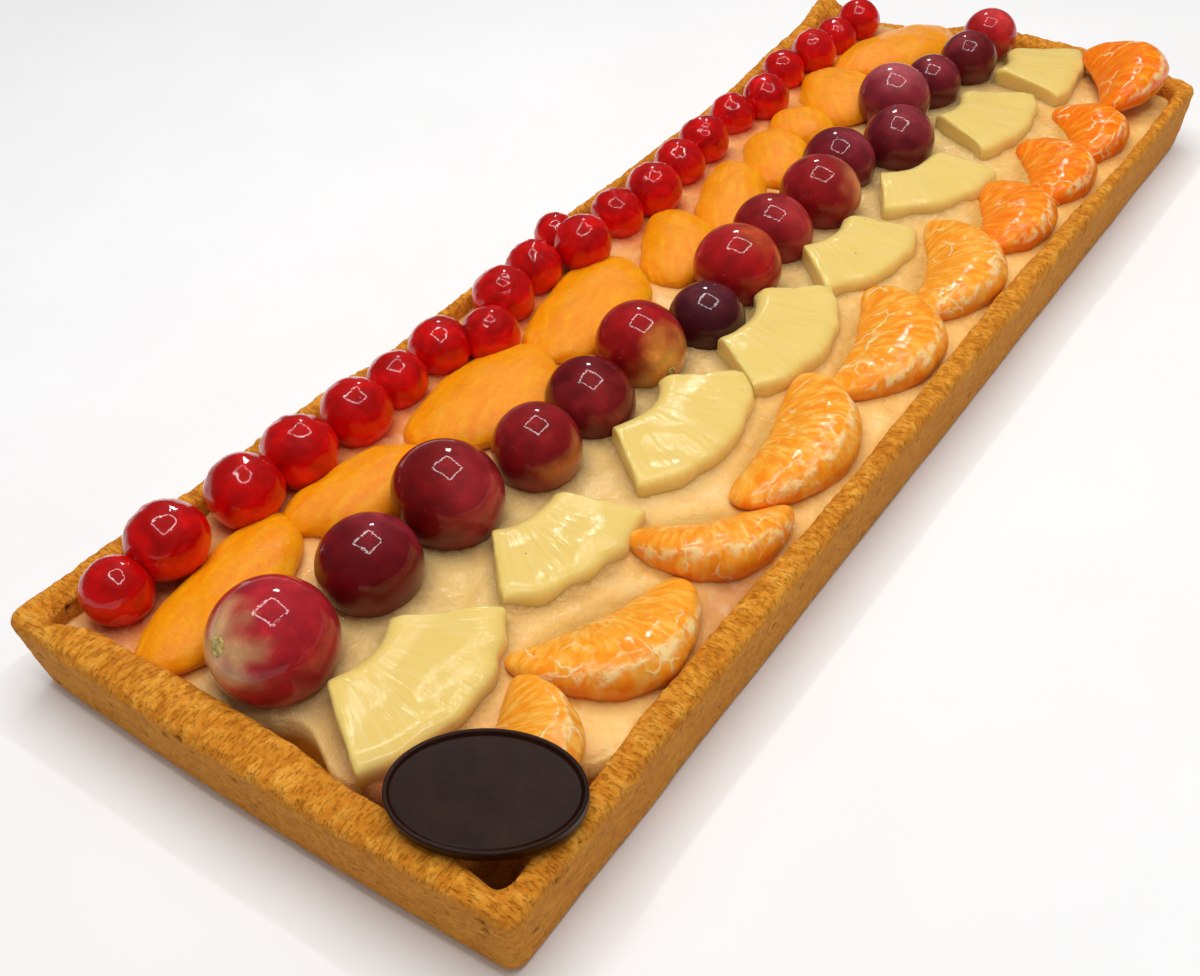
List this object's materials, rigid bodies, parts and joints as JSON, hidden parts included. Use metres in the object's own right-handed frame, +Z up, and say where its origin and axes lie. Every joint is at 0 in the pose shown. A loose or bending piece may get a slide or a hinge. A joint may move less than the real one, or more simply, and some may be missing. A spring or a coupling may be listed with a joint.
{
  "type": "fruit tart",
  "caption": "Long rectangular fruit crostata: a lumpy shortcrust tray filled with custard cream, topped with lengthwise rows of glazed fruit and an oval chocolate plaque on one corner.",
  "frame": {"origin": "middle of the footprint, on the flat bottom of the crust", "axes": "+Z up; +Y along the tart's length, away from the end that carries the chocolate plaque; +X across, towards the row of mandarin segments"},
  "size_m": [0.1282, 0.3531, 0.0354],
  "materials": {
    "crust": "baked shortcrust, grainy and matte",
    "cream": "custard cream under clear jelly glaze",
    "cherry": "candied, wet and clear red",
    "grape": "dark red skin under glaze",
    "apricot": "soft orange flesh under glaze",
    "pineapple": "pale yellow fibrous flesh under glaze",
    "mandarin": "orange segment under glaze",
    "chocolate": "dark chocolate, satin"
  },
  "bodies": {
    "root": {"apricot_01": "apricot", "apricot_02": "apricot", "apricot_03": "apricot", "apricot_04": "apricot", "apricot_05": "apricot", "apricot_06": "apricot", "apricot_07": "apricot", "apricot_08": "apricot", "apricot_09": "apricot", "apricot_10": "apricot", "cherry_01_02": "cherry", "cherry_03_04": "cherry", "cherry_05_06": "cherry", "cherry_07_08": "cherry", "cherry_09_10": "cherry", "cherry_11_12": "cherry", "cherry_13_14": "cherry", "cherry_15_16": "cherry", "cherry_17_18": "cherry", "cherry_19_20": "cherry", "cherry_21_22": "cherry", "cherry_23": "cherry", "cream": "cream", "crust": "crust", "grape_01": "grape", "grape_02": "grape", "grape_03": "grape", "grape_04": "grape", "grape_05": "grape", "grape_06": "grape", "grape_07": "grape", "grape_08": "grape", "grape_09": "grape", "grape_10": "grape", "grape_11": "grape", "grape_12": "grape", "grape_13": "grape", "grape_14": "grape", "grape_15": "grape", "grape_16": "grape", "mandarin_01": "mandarin", "mandarin_02": "mandarin", "mandarin_03": "mandarin", "mandarin_04": "mandarin", "mandarin_05": "mandarin", "mandarin_06": "mandarin", "mandarin_07": "mandarin", "mandarin_08": "mandarin", "mandarin_09": "mandarin", "mandarin_10": "mandarin", "pineapple_01": "pineapple", "pineapple_02": "pineapple", "pineapple_03": "pineapple", "pineapple_04": "pineapple", "pineapple_05": "pineapple", "pineapple_06": "pineapple", "pineapple_07": "pineapple", "pineapple_08": "pineapple", "plaque": "chocolate"}
  },
  "joints": []
}
